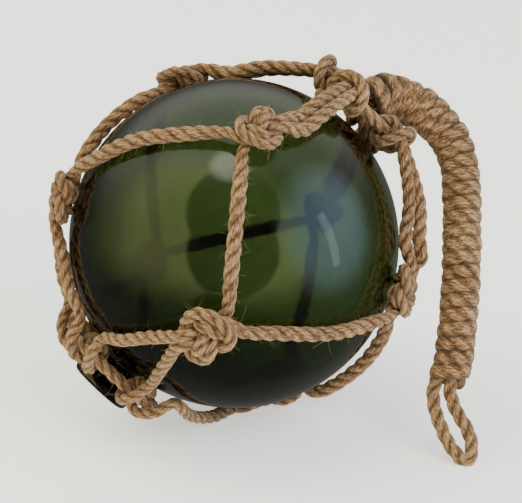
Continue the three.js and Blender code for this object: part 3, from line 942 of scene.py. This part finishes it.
# %% [markdown]
# Each of the four ropes goes up from the base ring, through two knots, over the crown ring with
# its bight, and down the other side through two more. The legs of neighbours meet in the lower
# knots, so strand for strand the net can be followed from end to end.

# %% The four ropes of the net
rope_lines = []


def in_place(rows):
    """Rows about the ball's centre, moved to where the ball is."""
    moved = rows.copy()
    moved[:, :3] += ball_centre
    return moved


def rope_instead_of(node, places):
    """The laid rope that replaces a node; its line is kept, because stray fibres will grow on it."""
    rope, line = laid_rope(node + "_laid", places)
    rope_lines.append(line)
    dress(rope, jute_rope, "jute_rope", node)


def leg_of_net(hitch, high, low, ring, slack):
    """One rope from the crown ring through an upper and a lower knot to the base ring."""
    return np.concatenate([
        hitch,
        span_on_ball(hitch[-1], high[0], [0.67]),
        high,
        span_on_ball(on_glass(high[-1], 0), on_glass(low[0], slack), [0.2, 0.5, 0.8]),
        low,
        span_on_ball(on_glass(low[-1], slack), ring[0], [0.33, 0.67]),
        ring,
    ])


for number, place in enumerate(crown_knots):
    after, before = (number + 1) % 4, (number + 3) % 4
    hitch = crown_hitch(place["around"])
    first = leg_of_net(
        hitch[0][::-1], crown_sets[number][0], base_sets[number][0][::-1],
        base_hitch(base_hitches[after], -1), base_knots[number]["slack"],
    )
    second = leg_of_net(
        hitch[1][::-1], crown_sets[number][1], base_sets[before][1][::-1],
        base_hitch(base_hitches[before], 1), base_knots[before]["slack"],
    )
    rope_instead_of(f"net_rope_{number + 1}", in_place(np.concatenate([first[::-1], second])))

# %% [markdown]
# Two rings hold the net together, one at the crown and one round the seal button. On the real
# net each is a short rope whose ends are tucked into each other. Here its ends run past each
# other for one step, inside the rope, so no seam shows.

# %% Rings of the net
def ring_of_rope(node, radius):
    """middle + outward(a) x radius, all round and a little further."""
    around = np.linspace(0, 360, 48, endpoint=False)
    middle = middle_of(node)
    points = np.stack([middle + outward(angle) * radius for angle in around])
    closed = np.concatenate([points, points[:2]])
    rope_instead_of(node, with_thickness(closed, RING_ROPE * SHOWN_IN_HITCH))


ring_of_rope("crown_ring", CROWN_RING_RADIUS)
ring_of_rope("base_ring", BASE_RING_RADIUS)

# %% [markdown]
# The handle is a doubled rope. Its ends are spread under the crown ring, it bends over to the
# right and hangs down beside the ball. Its course is a short list of points read from the
# photograph, in mm from the ball's centre.

# %% The handle's middle line
handle_route = np.array([
    [48.8, 22.2, 47.3],
    [54.5, 25.0, 47.8],
    [60.4, 27.0, 45.5],
    [67.5, 26.5, 42.3],
    [76.8, 21.0, 35.5],
    [81.2, 15.0, 28.4],
    [82.6, 7.5, 19.8],
    [82.6, -3.0, 6.6],
    [81.9, -14.0, -8.4],
    [80.4, -23.5, -24.0],
    [78.6, -29.5, -36.5],
])
route = evenly(smooth_path(handle_route), 200)
route_ahead = np.gradient(route, axis=0)
route_ahead /= np.linalg.norm(route_ahead, axis=1)[:, None]
route_across = np.cross(route_ahead, [0.0, 1.0, 0.0])
route_across /= np.linalg.norm(route_across, axis=1)[:, None]
print("handle along its middle, mm:", round(lengths_along(route)[-1]))

# %% [markdown]
# The two halves of the handle's rope lie side by side. At the lower end they part and meet again
# in the bight, which is left open as a loop to hang the float by. In the photograph the loop
# swings out to one side, so a small table of leans moves both of its sides together.

# %% The handle's rope and loop
HANDLE_ROPE = 4.1
LOOP_ROPE = 5.2
LOOP_LENGTH = 35.0
LOOP_WIDTH = 16.5
LOOP_LEAN = np.array([[0, -1.5], [0.2, -3.2], [0.45, -0.5], [0.65, 3.6], [1, 9.5]])
HANDLE_SPREAD = 17.0
POINT_SPACING = 8
loop_drop = LOOP_LENGTH - LOOP_ROPE / 2
loop_gap = LOOP_WIDTH - LOOP_ROPE


def gap_after(number):
    """The angle round the axis midway between one crown hitch and the next."""
    here = crown_knots[number]["around"]
    after = crown_knots[(number + 1) % 4]["around"]
    return (here + after + (360 if after < here else 0)) / 2


def under_crown(side, lane):
    """axis x height + away x reach: out under the ring, in along the glass and up through it."""
    away = outward(gap_after(1) if side > 0 else gap_after(3))
    under = BALL_RADIUS + HANDLE_ROPE / 2 + 2 * CLEARANCE
    ring_height = BALL_RADIUS + CROWN_RING_RISE
    spread = np.array([
        [HANDLE_SPREAD, math.sqrt(under**2 - HANDLE_SPREAD**2)],
        [HANDLE_SPREAD * 0.6, math.sqrt(under**2 - (HANDLE_SPREAD * 0.6) ** 2)],
        [HANDLE_SPREAD * 0.3, under + 4 * CLEARANCE],
        [lane + CLEARANCE, (under + ring_height) / 2 + 4 * CLEARANCE],
        [lane, ring_height + 3 * CLEARANCE],
    ])
    return crown_axis * spread[:, 1:] + away * spread[:, :1]


def handle_leg(side):
    """Under the ring, then route + or - across x lane, then the loop: end + ahead x drop + across x
    (side x width + lean)."""
    lane = (HANDLE_ROPE + CLEARANCE) / 2
    under = under_crown(side, lane)
    picked = np.append(np.arange(0, len(route) - 3, POINT_SPACING), len(route) - 1)
    run = route[picked] + route_across[picked] * side * lane
    drop = np.array([
        [0.06, lane / loop_gap],
        [0.25, 0.27],
        [0.45, 0.35],
        [0.65, 0.43],
        [0.86, 0.33],
    ])
    lean = np.interp(drop[:, :1], LOOP_LEAN[:, 0], LOOP_LEAN[:, 1])
    loop = (
        route[-1]
        + route_ahead[-1] * drop[:, :1] * loop_drop
        + route_across[-1] * (side * drop[:, 1:] * loop_gap + lean)
    )
    thin = with_thickness(np.concatenate([under, run]), HANDLE_ROPE)
    return np.concatenate([thin, with_thickness(loop, LOOP_ROPE)])


loop_end = route[-1] + route_ahead[-1] * loop_drop + route_across[-1] * LOOP_LEAN[-1, 1]
loop_tip = np.append(loop_end, LOOP_ROPE)
handle_rows = np.concatenate([handle_leg(1), [loop_tip], handle_leg(-1)[::-1]])
rope_instead_of("handle_rope", in_place(handle_rows))

# %% [markdown]
# The whipping is one cord wound round the handle, turn against turn. It is the cord itself that is
# modelled, as a helix about the handle's middle line. Wound tight, a soft cord goes flat: it is
# wider along the handle than it is deep, so neighbouring turns touch and only a fine groove is
# left. It starts thicker on the shoulder, and its last turn stands a little off the end.

# %% The whipping
WHIPPING_RADIUS = 7.5
SHOULDER_SWELL = 1.2
SHOULDER_START = 15
SHOULDER_END = 50
BARE_HANDLE = 2.0
LAST_TURN = 5.5
LAST_TURN_SHIFT = -2.4
WHIPPING_PITCH = 5.1
CORD_DEPTH = 4.2
CORD_WIDTH = 7.2
CORD_LAY = 15.0
CORD_SIDES = 18
STEPS_PER_TURN = 44


def whipping_surface():
    """The cord's skin at (turn, angle): a point goes round the handle's middle line once a turn.

    centre = route(place) + R (across cos t + lift sin t), with R the whipping's radius less half
    a cord, and a little more on the handle's shoulder. Round the centre goes D x outline(a) x
    cos a outwards and W x outline(a) x sin a along the handle, D and W being half the cord's
    depth and width. The cosine is flattened, because the cord is pressed flat.
    """
    past_end = route[-1] + route_ahead[-1] * LAST_TURN + route_across[-1] * LAST_TURN_SHIFT
    whipped = np.concatenate([route, [past_end]])
    along = lengths_along(whipped)
    turns = round((along[-1] - BARE_HANDLE) / WHIPPING_PITCH)
    turn = np.linspace(0, turns, turns * STEPS_PER_TURN + 1)
    place = BARE_HANDLE + (along[-1] - BARE_HANDLE - CORD_WIDTH / 4) * turn / turns
    middle = read_at(place, along, whipped)
    ahead = read_at(place, along, np.concatenate([route_ahead, route_ahead[-1:]]))
    across = read_at(place, along, np.concatenate([route_across, route_across[-1:]]))
    lift = np.cross(ahead, across)
    swing = (turn * 2 * np.pi)[:, None]
    out = across * np.cos(swing) + lift * np.sin(swing)
    wander = 0.12 * np.sin(turn * 3.9) + 0.1 * np.sin(turn * 1.7 + 1)
    swell = SHOULDER_SWELL * (1 - smoothstep(place, SHOULDER_START, SHOULDER_END))
    centre = middle + out * (WHIPPING_RADIUS - CORD_DEPTH / 2 + wander + swell)[:, None]
    length = lengths_along(centre)
    twist = length / CORD_LAY * 2 * np.pi
    angle = np.linspace(0, 2 * np.pi, CORD_SIDES, endpoint=False)
    shape = lobes(angle[None] + twist[:, None])
    shape = shape.mean() + (shape - shape.mean()) * 0.4
    flattened = np.sign(np.cos(angle)) * np.abs(np.cos(angle)) ** 0.75
    outwards = (CORD_DEPTH / 2 * shape * flattened)[..., None] * out[:, None]
    sideways = (CORD_WIDTH / 2 * shape * np.sin(angle))[..., None] * ahead[:, None]
    points = centre[:, None] + outwards + sideways
    uv = np.stack(np.broadcast_arrays(angle[None] + YARN_TURN * twist[:, None], length[:, None]), axis=-1)
    # painted shade: the cord's sides, pressed against the next turns, count as deep groove and are
    # darkened
    side_shade = np.clip(1.3 - 3.4 * np.abs(np.sin(angle)) ** 4, 0, 1)[None]
    groove = (shape - shape.min()) / (shape.max() - shape.min()) * side_shade
    return points + ball_centre, uv, groove, in_place(centre)


skin, skin_uv, skin_groove, cord_line = whipping_surface()
whipping = grid_object("handle_whipping_cord", skin)
map_cord(whipping.data, skin_uv, skin_groove)
dress(whipping, jute_rope, "jute_rope", "handle_whipping")
rope_lines.append(with_thickness(cord_line, CORD_DEPTH))
print("whipping cord length, mm:", round(lengths_along(cord_line)[-1]))

# %% [markdown]
# Jute is never smooth: the ends of its fibres stand off the rope and blur its outline. Each fibre
# is a thin bent spike with its root in the rope. Hair particles would be lost on export, so these
# are mesh, three-sided and only as many as the eye needs. Where one meets the glass it lies on it.

# %% Stray fibres
FIBRES_PER_MM = 2.05
FIBRE_RADIUS = 0.036
FIBRE_RINGS = 4
FIBRE_PALENESS = 3.0


def fibres_on(line, chance):
    """root + length x (lean t + bend t^2), thinner to the tip, for many roots along one line."""
    path, thickness = line[:, :3], line[:, 3]
    ahead, across, lift = frames_along(path)
    count = int(lengths_along(line)[-1] * FIBRES_PER_MM)
    row = chance.integers(1, len(path) - 1, count)
    angle = chance.uniform(0, 2 * np.pi, (count, 1))
    out = across[row] * np.cos(angle) + lift[row] * np.sin(angle)
    beside = np.cross(ahead[row], out)
    root = path[row] + out * thickness[row, None] * 0.42
    lean = out * chance.uniform(0.15, 0.9, (count, 1))
    lean += ahead[row] * chance.normal(0, 0.9, (count, 1)) + beside * chance.normal(0, 0.5, (count, 1))
    lean /= np.linalg.norm(lean, axis=1)[:, None]
    bend = chance.normal(0, 0.6, (count, 3))
    length = np.clip(chance.gamma(1.3, 0.8, (count, 1)) + 0.5, 0, 6)
    share = np.linspace(0, 1, FIBRE_RINGS)[None, :, None]
    curve = root[:, None] + length[:, None] * (lean[:, None] * share + bend[:, None] * share**2)
    from_ball = curve - ball_centre
    distance = np.linalg.norm(from_ball, axis=-1, keepdims=True)
    curve = ball_centre + from_ball / distance * np.maximum(distance, BALL_RADIUS + 2 * FIBRE_RADIUS)
    first = np.cross(lean, out + 0.01 * ahead[row])
    first /= np.linalg.norm(first, axis=1)[:, None]
    second = np.cross(lean, first)
    corner = np.radians([0, 120, 240])
    ring = first[:, None] * np.cos(corner)[None, :, None] + second[:, None] * np.sin(corner)[None, :, None]
    radius = FIBRE_RADIUS * (1 - 0.4 * share)
    points = curve[:, :, None] + ring[:, None] * radius[..., None]
    points[..., 2] = np.maximum(points[..., 2], TABLE_GAP)
    return points.reshape(count, -1, 3)


def stray_fibres(lines):
    """All fibres in one mesh; a random u gives each its own shade, and they count as crests."""
    chance = np.random.default_rng(11)
    points = np.concatenate([fibres_on(line, chance) for line in lines])
    faces = [(0, 2, 1), tuple(3 * (FIBRE_RINGS - 1) + side for side in range(3))]
    for ring in range(FIBRE_RINGS - 1):
        for side in range(3):
            low, high = 3 * ring, 3 * ring + 3
            beside = (side + 1) % 3
            faces.append((low + side, low + beside, high + beside, high + side))
    made = scattered("stray_fibres", points, faces)
    mesh = made.data
    set_groove(mesh, np.full(len(mesh.vertices), FIBRE_PALENESS))
    shade = np.repeat(chance.uniform(0, 60, len(points)), points.shape[1])
    vertex_uv = np.stack([shade, np.zeros(len(shade))], axis=1).astype(np.float32)
    set_map(mesh, vertex_uv[corner_numbers(mesh)])
    return made


fibres = stray_fibres(rope_lines)
dress(fibres, jute_rope, "jute_rope")

# %% [markdown]
# The float stands on a plain pale floor. The floor glows a little of itself, as paper under
# studio lamps looks, and it stays out of mirror reflections: a bright sheet mirrored in the
# underside of the glass would hide the green.

# %% Floor
FLOOR_HALF = 3000.0
FLOOR_GLOW = 0.75

pale_matt = new_material("floor", {
    "Base Color": (0.93, 0.93, 0.92, 1), "Roughness": 0.9,
    "Emission Color": (1.0, 1.0, 1.0, 1), "Emission Strength": FLOOR_GLOW,
})[0]
floor_corners = FLOOR_HALF * np.array([[-1, -1, 0], [1, -1, 0], [1, 1, 0], [-1, 1, 0]])
floor = smooth_object("floor", floor_corners, [(0, 1, 2, 3)])
floor.data.materials.append(pale_matt)
floor.visible_glossy = False
print("floor, m across:", 2 * FLOOR_HALF * MM)

# %% [markdown]
# Glass shows little of itself: what is seen is what it reflects. A picture of a room could be
# wrapped round the scene, but a few soft patches do it without one: a pale sky behind and above,
# a green-lit wall on the camera's side with a dark screen in front of it, a bluish window at the
# right, a lamp overhead, and a dim rest.

# %% The room that the glass reflects
SKY = 1.05
GREEN_WALL = 1.7
WINDOW = 2.3
CEILING_LAMP = 3.5
DIM_ROOM = 0.15


def studio_world():
    """The sum of five lights, each a colour x the product of smooth steps over the direction."""
    world = bpy.data.worlds.new("studio")
    world.use_nodes = True
    nodes, links = world.node_tree.nodes, world.node_tree.links
    generated = nodes.new("ShaderNodeTexCoord").outputs["Generated"]

    def facing(way, low, high, least, most):
        """Goes smoothly from least to most as direction . way goes from low to high."""
        towards = nodes.new("ShaderNodeVectorMath")
        towards.operation = "DOT_PRODUCT"
        towards.inputs[1].default_value = way
        links.new(generated, towards.inputs[0])
        ramp = nodes.new("ShaderNodeMapRange")
        ramp.interpolation_type = "SMOOTHSTEP"
        set_inputs(ramp, {"From Min": low, "From Max": high, "To Min": least, "To Max": most})
        links.new(towards.outputs["Value"], ramp.inputs["Value"])
        return ramp.outputs["Result"]

    def light(colour, strength, *factors):
        """A colour whose strength is multiplied by each factor in turn."""
        for factor in factors:
            product = nodes.new("ShaderNodeMath")
            product.operation = "MULTIPLY"
            links.new(strength, product.inputs[0])
            links.new(factor, product.inputs[1])
            strength = product.outputs["Value"]
        node = nodes.new("ShaderNodeBackground")
        set_inputs(node, {"Color": colour})
        links.new(strength, node.inputs["Strength"])
        return node.outputs["Background"]

    lights = [
        light((0.98, 0.99, 0.89, 1),
              facing((0, 0, 1), -0.05, 0.55, 0.02, SKY),
              facing((0, 1, 0), -0.5, 0.1, 0, 1),
              facing((0.78, 0, 0.62), 0.6, 0.95, 1, 0.6),
              facing((-0.9, -0.3, 0.3), 0.6, 0.95, 1, 0.35)),
        light((0.88, 0.98, 0.36, 1),
              facing((-0.5, -0.87, 0), -0.1, 0.5, 0, GREEN_WALL),
              facing((0, 0, 1), -0.45, 0.1, 0, 1),
              facing((0, -0.695, 0.719), 0.83, 0.87, 1, 0.04),
              facing((0, -0.951, 0.309), 0.83, 0.87, 1, 0.04),
              facing((-0.9, 0.42, 0), 0.7, 1, 1, 0.3)),
        light((0.5, 0.78, 1.0, 1), facing((0.93, -0.25, 0.27), 0.72, 1, 0, WINDOW)),
        light((1.0, 0.97, 0.88, 1), facing((-0.04, -0.176, 0.984), 0.966, 0.996, 0, CEILING_LAMP)),
        light((1.0, 0.98, 0.94, 1), facing((0, 0, 1), -1, 0.3, DIM_ROOM, DIM_ROOM * 0.7)),
    ]
    whole = lights[0]
    for more in lights[1:]:
        both = nodes.new("ShaderNodeAddShader")
        links.new(whole, both.inputs[0])
        links.new(more, both.inputs[1])
        whole = both.outputs["Shader"]
    links.new(whole, nodes["World Output"].inputs["Surface"])
    print("lights in the room:", len(lights))
    return world


bpy.context.scene.world = studio_world()

# %% [markdown]
# The room alone would light the rope from all sides and leave it flat. Two large soft lamps
# give it a bright and a shaded side, and they are kept out of the glass, where they would show
# as squares. A third, a narrow gap of the window, is there only for the streak on the right.

# %% Lamps
def area_light(name, place, width, height, radiance, colour, in_reflections=False):
    """A rectangle at a place in mm from the ball's centre, facing it; power = radiance x pi x area."""
    data = bpy.data.lights.new(name, "AREA")
    data.shape = "RECTANGLE"
    data.size = width
    data.size_y = height
    data.energy = radiance * math.pi * width * height
    data.color = colour
    made = bpy.data.objects.new(name, data)
    bpy.context.scene.collection.objects.link(made)
    made.location = (ball_centre + np.array(place)) * MM
    made.rotation_euler = Vector([-float(part) for part in place]).to_track_quat("-Z", "Y").to_euler()
    made.visible_glossy = in_reflections
    made.visible_transmission = in_reflections
    print(name, "watts:", round(data.energy, 1))


area_light("window_gap", (1000, -330, 200), 0.12, 0.6, 1.5, (0.8, 0.92, 1.0), in_reflections=True)
area_light("soft_key", (700, -900, 1000), 0.9, 0.9, 6.0, (1.0, 0.97, 0.93))
area_light("soft_fill", (-900, 300, 1200), 1.2, 1.2, 2.6, (1.0, 0.98, 0.95))
